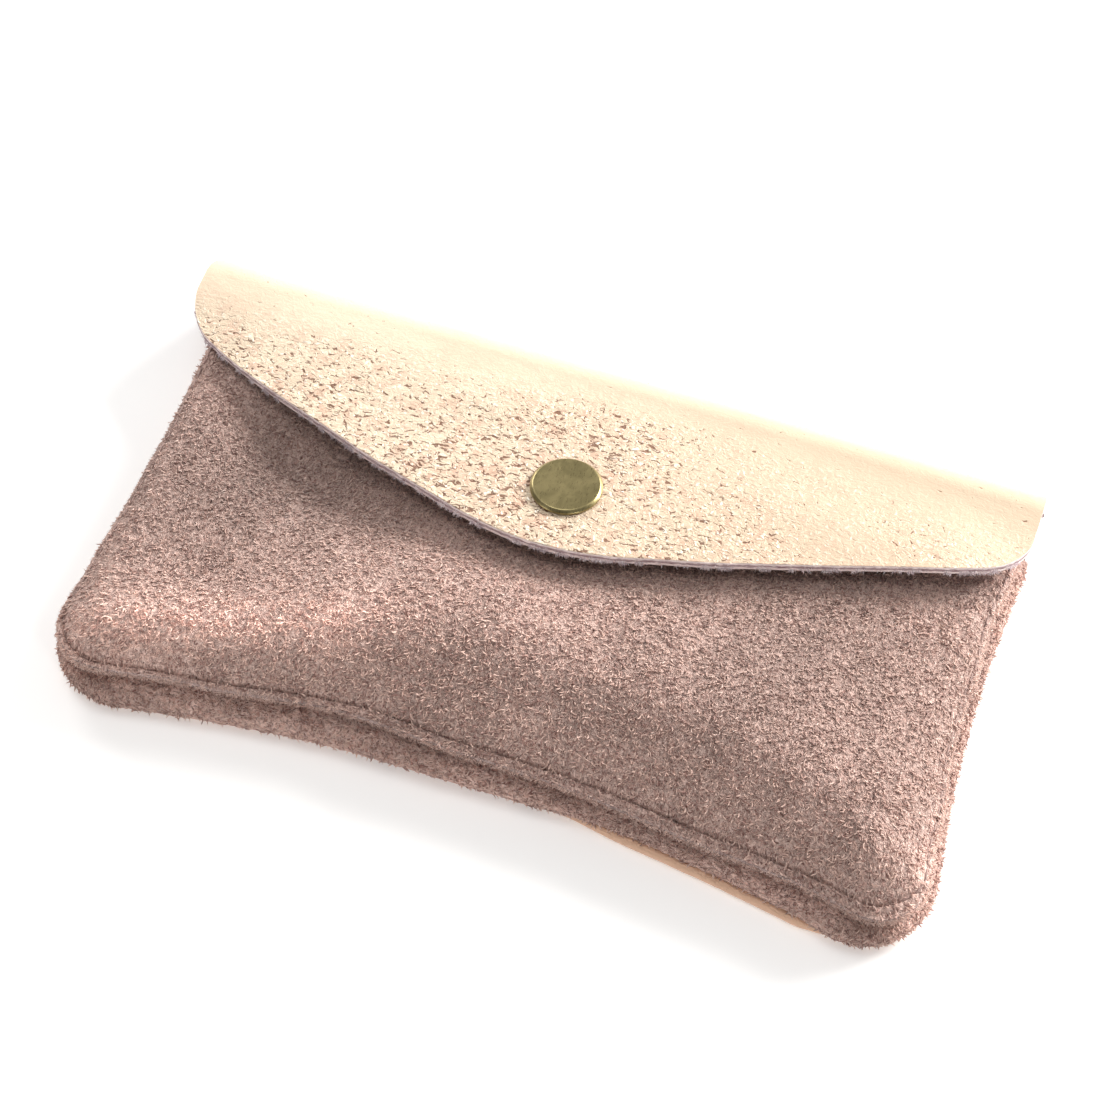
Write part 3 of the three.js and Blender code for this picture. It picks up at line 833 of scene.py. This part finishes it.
ROSE = suede("rose_suede", srgb(122, 90, 83), srgb(200, 165, 154), srgb(246, 217, 205))
# The gusset's suede is painted lighter than the front's, as painted light that lifts the shade on its
# wall.
ROSE_GUSSET_PAINTED_LIGHTER = suede("rose_suede_gusset_painted_lighter", srgb(136, 98, 90), srgb(214, 172, 158), srgb(252, 222, 210))
EDGE_COLOURS = srgb(138, 110, 106), srgb(194, 166, 160), srgb(236, 212, 204)
ROSE_EDGE = suede("rose_suede_edge", *EDGE_COLOURS, 0.5)
MAUVE_COLOURS = srgb(128, 104, 116), srgb(168, 146, 154), srgb(208, 188, 194)
MAUVE_FLESH = suede("mauve_flesh_side", *MAUVE_COLOURS, 0.6)
FOIL = foiled()
CUT_EDGE = cut_edge()
BRASS = brass("antiqued_brass", srgb(140, 129, 91), srgb(172, 158, 114))
BRASS_INSIDE = brass("snap_brass", srgb(150, 128, 78), srgb(206, 180, 116), 0.6, 0.26)
SPRING = brass("spring_wire", srgb(190, 168, 108), srgb(226, 206, 150), 0.3, 0.2)
THREAD_FINISH = thread_finish()
ROSE_FIBRE = fibre_finish("rose_fibres", srgb(226, 194, 180), srgb(200, 165, 152))
DARK_FIBRE = fibre_finish("deep_rose_fibres", srgb(184, 148, 137), srgb(150, 115, 106))
PALE_FIBRE = fibre_finish("pale_fibres", srgb(252, 240, 240), srgb(216, 196, 202))


# -------- the pouch


def across(count):
    """Columns from -1 to 1, closer together towards the sides."""
    return np.sin(np.linspace(-math.pi / 2, math.pi / 2, count))


def make_front_panel():
    """The front panel, domed by what is in the pouch, its raw margin pared towards its edge."""
    d, v = np.meshgrid(across(401), np.linspace(0, 1, 231) ** 1.3, indexing="ij")
    x = d * HALF_WIDTH
    y = lerp(low_edge(x, HALF_WIDTH, LOW_Y, CORNER), MOUTH_Y, v)
    nap = 0.05 * rough(x / 0.9, y / 0.9, 41, 2)
    outer = front_point(x, y) + nap[..., None] * grid_normals(front_point(x, y))
    inset = -outside(x, y, HALF_WIDTH, LOW_Y, CORNER)[0]
    inner = front_point(x, y, lerp(0.7, LEATHER, smooth(inset, 0.1, 2.6)))
    flat = np.stack([x, y], -1)
    panel = closed_sheet("front_panel_suede", outer, inner, flat, [ROSE, ROSE, ROSE_EDGE], fray=0.2)
    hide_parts("front_panel")
    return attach(panel, "pouch")


def front_tufts(name, count, radius, material):
    """Matted tufts that lie on the front panel's nap."""
    x = rng.uniform(-1, 1, count) * (HALF_WIDTH - 0.1)
    y = rng.uniform(LOW_Y + 0.1, MOUTH_Y - 0.3, count)
    kept = outside(x, y, HALF_WIDTH, LOW_Y, CORNER)[0] < -0.1
    x, y = x[kept], y[kept]
    roots = front_point(x, y, 0.04)
    right = front_point(x + 0.2, y) - front_point(x, y)
    up = front_point(x, y + 0.2) - front_point(x, y)
    lying(name, roots, right, up, x, y, radius, material)


def lying(name, roots, right, up, x, y, radius, material):
    """Tufts that lie on a surface with tangents right and up, combed one way in some patches."""
    right, up = unit(right), unit(up)
    out = np.cross(right, up)
    angle = -1.1 + 1.5 * noise(x / 16, y / 16, 61) + rng.normal(scale=1.1, size=len(x))
    rise = rng.uniform(-0.05, 0.12, len(x))[:, None]
    direction = np.cos(angle)[:, None] * right + np.sin(angle)[:, None] * up + rise * out
    tufts = fibres(name, roots, direction, TUFT_LENGTH, radius, material, 0.9, PLUMP)
    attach(tufts, "pouch")


# Section of the gusset as [inset, share of the height from its foot to its raw margin]
GUSSET_SECTION = (
    *((FOOT, 0.0), (2.4, 0.0), (0.9, 0.0), (-0.35, 0.05), (-0.95, 0.2), (-0.7, 0.35), (0.9, 0.47)),
    *((3.0, 0.58), (4.5, 0.72), (4.9, 0.87), (4.1, 0.985), (2.4, 1.0), (0.9, 1.0)),
)


def spline(points, at):
    """A smooth curve through points, at shares of it from 0 to 1."""
    p = np.array([points[0], *points, points[-1]], float)
    s = np.clip(at, 0, 1) * (len(points) - 1 - 1e-9)
    i = s.astype(int)
    f = (s - i)[..., None]
    a, b, c, d = p[i], p[i + 1], p[i + 2], p[i + 3]
    square, cube = 2 * a - 5 * b + 4 * c - d, 3 * b - a - 3 * c + d
    return 0.5 * (2 * b + (c - a) * f + square * f**2 + cube * f**3)


def gusset_swell(x, y):
    """How far the gusset's wall swells out: it tucks in where the back's edge shows."""
    low_middle = 1.4 * bump(x, -6, 19) * smooth(-y, 34, 40)
    return 0.1 + low_middle - 1.3 * back_edge_shows(x, y) + 0.3 * noise(x / 15, y / 15, 51)


def gusset_point(t, u):
    """Middle of the gusset's leather, t along the seams and u from 0 at its foot to 1 at its raw edge
    under the front panel's."""
    inset, share = np.moveaxis(spline(GUSSET_SECTION, u), -1, 0)
    rim_x, rim_y = along(t, 0.0)
    wall = np.sin(np.clip(share / 0.8, 0, 1) * math.pi)
    inset = inset - wall * gusset_swell(rim_x, rim_y)
    x, y = along(t, inset, lerp(BACK_CORNER, CORNER, smooth(share, 0.1, 0.9)))
    foot_z = LEATHER + GAP + GUSSET_LEATHER / 2
    plain_top_z = edge_height(y) - LEATHER - GAP - GUSSET_LEATHER / 2
    front_z = front_height(*along(t, np.clip(inset, 0.1, SEAM))) - LEATHER - 0.1 - GUSSET_LEATHER / 2
    top_z = lerp(plain_top_z, np.minimum(front_z, plain_top_z + 0.3), smooth(share, 0.9, 1))
    slump = 0.7 * bump(share, 0.12, 0.13) * (1 - back_edge_shows(rim_x, rim_y))
    wrinkle = 0.22 * wall * rough(t * 46, share * 2.2, 52, 2)
    px, py = stuffed(*puckered(x, y, smooth(share, 0.35, 0.95)))
    return np.stack([px, py, lerp(foot_z, top_z, share) - slump + wrinkle], -1)


def make_gusset():
    """The strip between front and back, sewn flat to the back and folded in under the front."""
    t, u = np.meshgrid(np.linspace(0, 1, 521), np.linspace(0, 1, 52), indexing="ij")
    middle = gusset_point(t, u)
    out = -grid_normals(middle)
    flat = np.stack([GUSSET_LENGTH * t, GUSSET_WIDTH * u + GUSSET_FLAT_Y], -1)
    nap = 0.05 * rough(flat[..., 0] / 0.9, flat[..., 1] / 0.9, 42, 2)
    outer = middle + out * (GUSSET_LEATHER / 2 + nap[..., None])
    inner = middle - out * GUSSET_LEATHER / 2
    materials = [ROSE_GUSSET_PAINTED_LIGHTER, ROSE_GUSSET_PAINTED_LIGHTER, ROSE_EDGE]
    strip = closed_sheet("gusset_suede", outer, inner, flat, materials, True, fray=0.1)
    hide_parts("gusset")
    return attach(strip, "pouch")


def gusset_tufts(name, count, radius, material):
    """Matted tufts on the outside of the gusset."""
    t = rng.uniform(0.004, 0.994, count)
    u = rng.uniform(0.15, 0.6, count)
    roots = gusset_point(t, u)
    ahead = gusset_point(t + 0.0006, u) - roots
    up = gusset_point(t, u + 0.01) - roots
    roots = roots + unit(np.cross(ahead, up)) * (GUSSET_LEATHER / 2 - 0.03)
    lying(name, roots, ahead, up, GUSSET_LENGTH * t, GUSSET_WIDTH * u, radius, material)


def back_seam(height):
    """A path along the back seam, at a height."""

    def path(t):
        px, py = stuffed(*along(t, FOOT_STITCHES, BACK_CORNER))
        return np.stack([px, py, height + 0 * px], -1)

    return path


def on_front_seam(t):
    """A point of the front seam on the panel as cut."""
    return along(t, seam_inset(*along(t, SEAM)))


def front_seam(t):
    return front_point(*on_front_seam(t)) + [0, 0, 0.1]


def under_front_seam(t):
    x, y = on_front_seam(t)
    px, py = stuffed(*puckered(x, y, 1.0))
    z = edge_height(y) - LEATHER - GAP - GUSSET_LEATHER - 0.3
    return np.stack([px, py, z], -1)


def make_stitching():
    """Two threads along each seam, seen on either side of the leathers that they hold."""
    foot_top = LEATHER + GAP + GUSSET_LEATHER + 0.12
    for node, name, path, dip in (
        ("front_seam_needle_thread", "front_seam_stitches", front_seam, -0.45),
        ("front_seam_bobbin_thread", "front_seam_lower_stitches", under_front_seam, 0.4),
        ("back_seam_needle_thread", "back_seam_inner_stitches", back_seam(foot_top), -0.4),
        ("back_seam_bobbin_thread", "back_seam_stitches", back_seam(THREAD / 2 + 0.02), 0.5),
    ):
        run = stitches(name, path, dip)
        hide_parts(node)
        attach(run, "pouch")


def make_nap():
    """Tufts of nap on the front panel and on the gusset's wall, lighter and darker ones."""
    front_tufts("front_nap_tufts", 36000, 0.16, ROSE_FIBRE)
    front_tufts("front_nap_shaded_tufts", 20000, 0.155, DARK_FIBRE)
    gusset_tufts("gusset_nap_tufts", 7500, 0.16, ROSE_FIBRE)
    gusset_tufts("gusset_nap_shaded_tufts", 6500, 0.155, DARK_FIBRE)


def make_raw_edge_fibres():
    """The raw margins of the front panel and the gusset are fringed with loose fibres."""
    for name, inset, drop, count, reach in (
        ("front_edge_fibres", 0.0, 0.2, 3200, 0.75),
        ("front_edge_lower_fibres", -0.1, 0.7, 3600, 0.9),
        ("gusset_edge_fibres", 0.9, 1.9, 1600, 1.0),
    ):
        t = rng.uniform(0.005, 0.995, count)
        x, y = along(t, inset)
        roots = front_point(x, y, drop)
        direction = unit(roots - front_point(*along(t, inset + 0.5), drop))
        spread = rng.normal(scale=0.5, size=(count, 3)) - [0, 0, 0.35]
        fringe = fibres(name, roots, direction + spread, reach, 0.11, ROSE_FIBRE)
        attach(fringe, "pouch")


# -------- the back leather

COLUMNS = across(381)
BACK_ROWS = np.linspace(0, 1, 111) ** 1.25
FOLD_ROWS = 1 + np.linspace(0, 1, 49)
FLAP_ROWS = 2 + np.linspace(0, 1, 111)


def make_back_leather():
    """One grid over the whole leather, cut where its bodies meet."""
    rows = np.r_[BACK_ROWS, FOLD_ROWS[1:], FLAP_ROWS[1:]]
    d, s = np.meshgrid(COLUMNS, rows, indexing="ij")
    middle, thickness, flat = leather_point(d, s)
    out = -grid_normals(middle)
    outer = middle + out * (thickness / 2 + foil_relief(flat))[..., None]
    outer[..., 2] = np.maximum(outer[..., 2], 0)
    inner = middle - out * (thickness / 2)[..., None]
    outer_normals, inner_normals = -grid_normals(outer), grid_normals(inner)
    fold_start = len(BACK_ROWS) - 1
    fold_middle = fold_start + (len(FOLD_ROWS) - 1) // 2
    flap_start = fold_start + len(FOLD_ROWS) - 1

    def stretch(name, first, last, joins):
        part = slice(first, last + 1)
        pair = outer[:, part], inner[:, part]
        edge = {"rim": 0.1, "fray": 0.09, "flare": 0.2} if first >= fold_start else {"rim": 0.05}
        faces = [FOIL, MAUVE_FLESH, CUT_EDGE]
        piece = closed_sheet(name, *pair, flat[:, part], faces, True, joins, **edge)
        wide, count = last + 1 - first, len(COLUMNS) * (last + 1 - first)
        for joined_here, at, row in ((joins[0], 0, first), (joins[1], wide - 1, last)):
            if joined_here:
                seen = np.arange(len(COLUMNS)) * wide + at
                normals = np.concatenate([outer_normals[:, row], inner_normals[:, row]])
                keep_normals(piece, np.r_[seen, seen + count], normals)
        return piece

    back = stretch("back_panel_leather", 0, fold_start, (False, True))
    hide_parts("back_panel")
    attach(back, "pouch")
    lower = stretch("fold_lower_leather", fold_start, fold_middle, (True, True))
    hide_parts("fold_strip")
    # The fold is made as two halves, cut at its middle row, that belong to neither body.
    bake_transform(lower)
    upper = stretch("fold_upper_leather", fold_middle, flap_start, (True, True))
    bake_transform(upper)
    flap = stretch("flap_leather", flap_start, len(rows) - 1, (True, False))
    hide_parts("flap")
    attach(flap, "flap")


def make_flap_edge_fibres():
    """Pale fibres in patches along the flap's cut edge."""
    x = rng.uniform(-1, 1, 6000) * (FLAP_HALF_WIDTH - 1)
    x = x[rng.uniform(0, 1, len(x)) < smooth(noise(x / 1.1, 0, 71), -0.5, 0.8)]
    count = len(x)
    y = flap_edge(x)
    depth = rng.uniform(-0.1, 0.62, count)
    wide = 1 + FLAP_SPREAD / FLAP_HALF_WIDTH
    z = flap_height(x + FLAP_X, y) - depth
    roots = np.stack([x * wide + FLAP_X, y - 0.12 - 0.4 * depth, z], -1)
    slope = np.gradient(flap_edge(np.sort(x)), np.sort(x))[np.argsort(np.argsort(x))]
    direction = unit(np.stack([slope, -np.ones(count), -0.25 - 0 * x], -1))
    direction += rng.normal(scale=0.5, size=(count, 3))
    fringe = fibres("flap_edge_fibres", roots, direction, 0.65, 0.1, PALE_FIBRE, 0.8)
    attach(fringe, "flap")


# -------- the press stud


def snap_pose():
    """Places the press stud's axis upright on the flap, its origin in the middle of the leather."""
    normal = Vector((-FLAP_LEAN, FLAP_RISE, 1)).normalized()
    turn = Vector((0, 0, 1)).rotation_difference(normal).to_matrix().to_4x4()
    return Matrix.Translation((FLAP_X, SNAP_Y, float(snap_plane(FLAP_X, SNAP_Y)))) @ turn


OUT = LEATHER / 2 + 0.08  # the cap is clamped onto the flap
SOCKET_TOP = -LEATHER / 2 - GAP
STUD_FOOT = -LEATHER / 2 - SNAP_STACK + GAP
POST_FLANGE = STUD_FOOT - 2 * GAP - LEATHER


def above(height, profile):
    """A profile of [r, z] points, lifted by a height."""
    return [[r, z + height] for r, z in profile]


def make_press_stud():
    """The cap and socket on the flap, and the stud and its post on the front panel."""
    pose = snap_pose()
    cap = [[0, -1.5], [1.3, -1.5]]
    cap += above(OUT, [[1.3, 0.3], [5.4, 0.3], [5.4, 0], [6.05, 0], [6.25, 0.15], [6.25, 0.5]])
    cap += above(OUT, [[5.8, 0.92], [5.6, 0.97], [0, 1.0]])
    socket = [[1.6, 0], [1.6, -0.6], [3.0, -0.6], [3.0, -1.2], [3.8, -1.2], [3.8, -2.2]]
    socket += [[3.25, -2.2], [3.25, -2.5], [4.6, -2.5], [5.4, -0.3], [5.2, 0], [1.6, 0]]
    stud = [[1.6, 0], [4.8, 0], [4.8, 0.3], [2.5, 0.5], [2.3, 0.7], [2.3, 1.4]]
    stud += [[2.6, 1.8], [2.6, 2.0], [2.3, 2.3], [1.6, 2.3], [1.6, 0]]
    post = above(POST_FLANGE, [[0, -0.5], [4.4, -0.5], [4.5, -0.2], [4.3, 0], [1.3, 0]])
    post += above(STUD_FOOT, [[1.3, 2.1], [0, 2.1]])
    for name, node, profile, material, body in (
        ("snap_cap_disc", "snap_cap", cap, BRASS, "flap"),
        ("snap_socket_shell", "snap_socket", above(SOCKET_TOP, socket), BRASS_INSIDE, "flap"),
        ("snap_stud_knob", "snap_stud", above(STUD_FOOT, stud), BRASS_INSIDE, "pouch"),
        ("snap_post_eyelet", "snap_post", post, BRASS_INSIDE, "pouch"),
    ):
        piece = turned_piece(name, profile, material, pose)
        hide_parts(node)
        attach(piece, body)
    a = np.linspace(0.35, 2 * math.pi - 0.35, 61)
    ring = np.stack([3.1 * np.cos(a), 3.1 * np.sin(a), 0 * a + SOCKET_TOP - 1.7], -1)
    vertices, faces = tube([pose @ Vector(p) for p in ring], 0.24, 10, 0.8)
    spring = new_object("snap_spring_ring", vertices, faces, [SPRING])
    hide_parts("snap_spring")
    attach(spring, "flap")


# -------- floor, light and camera


def make_floor():
    """A wide sheet of pale paper."""
    s = new_shader("pale_paper")
    tone = s.noise(s.node("NewGeometry").outputs["Position"], 9.0, 3.0)
    white = s.mix(s.ramp(tone, 0.3, 0.7), srgb(250, 249, 248), srgb(246, 245, 244))
    material = s.finish(
        Base_Color=white,
        Roughness=0.9,
        Specular_IOR_Level=0.1,
        Emission_Color=white,
        Emission_Strength=0.28,
    )
    size = 3000.0
    corners = np.array([(-1, -1, 0), (1, -1, 0), (1, 1, 0), (-1, 1, 0)]) * size
    floor = new_object("floor", corners, [(0, 1, 2, 3)], [material])


def area_light(name, place, size, power, colour=(1, 1, 1)):
    """A softbox at place, in metres, facing the wallet."""
    light = bpy.data.lights.new(name, "AREA")
    light.shape = "RECTANGLE"
    light.size, light.size_y = size
    light.energy = power
    light.color = colour
    obj = bpy.data.objects.new(name, light)
    obj.location = place
    obj.rotation_euler = (Vector((0, 0, 0.005)) - Vector(place)).to_track_quat("-Z", "Y").to_euler()
    bpy.context.scene.collection.objects.link(obj)


def make_studio():
    """Soft surroundings, bright behind and above the wallet and darker in front of it."""
    s = Shader(bpy.data.worlds.new("studio"))
    direction = s.node("TexCoord").outputs["Generated"]
    behind = s.node("VectorMath", {0: direction, 1: (0.1, 0.75, 0.5)}, operation="DOT_PRODUCT")
    strength = s.ramp(behind.outputs["Value"], -0.2, 0.9, 0.14, 0.55)
    background = s.node("Background", {"Color": (1.0, 0.985, 0.97, 1), "Strength": strength})
    s.node("OutputWorld", {"Surface": background.outputs[0]})
    bpy.context.scene.world = s.owner


def make_light():
    """A large window behind on the right, and weak lights that fill the shadows."""
    bpy.context.scene.view_settings.view_transform = "Standard"
    make_studio()
    area_light("window_behind", (0.85, 1.1, 0.6), (0.9, 0.5), 47.0, (1, 0.99, 0.97))
    area_light("window_left", (-1.1, 0.9, 0.45), (0.6, 0.4), 9.0)
    area_light("overhead", (-0.2, 0.0, 1.4), (0.8, 0.8), 5.0)
    area_light("front_left", (-0.7, -0.75, 0.35), (0.18, 0.25), 1.6)
    area_light("front_right", (0.75, -0.65, 0.35), (0.18, 0.25), 2.4)


AZIMUTH, ELEVATION = math.radians(19.8), math.radians(57.5)
FOCUS = Vector((-2.1, 5.9, 8.0))  # what the camera looks at
CAMERA_DISTANCE = 512.0
FOCAL_LENGTH, SENSOR_WIDTH = 98.36, 36


def make_camera():
    """Looks down on the wallet from the front, a little to the right."""
    level = math.cos(ELEVATION)
    back = Vector((math.sin(AZIMUTH) * level, -math.cos(AZIMUTH) * level, math.sin(ELEVATION)))
    camera = bpy.data.cameras.new("camera")
    camera.lens = FOCAL_LENGTH
    camera.sensor_width = SENSOR_WIDTH
    camera.clip_start = 0.01
    obj = bpy.data.objects.new("camera", camera)
    obj.location = (FOCUS + back * CAMERA_DISTANCE) * MM
    obj.rotation_euler = back.to_track_quat("Z", "Y").to_euler()
    bpy.context.scene.collection.objects.link(obj)
    bpy.context.scene.camera = obj


make_camera()
make_light()
make_floor()
make_front_panel()
make_gusset()
make_stitching()
make_raw_edge_fibres()
make_nap()
make_back_leather()
make_flap_edge_fibres()
make_press_stud()
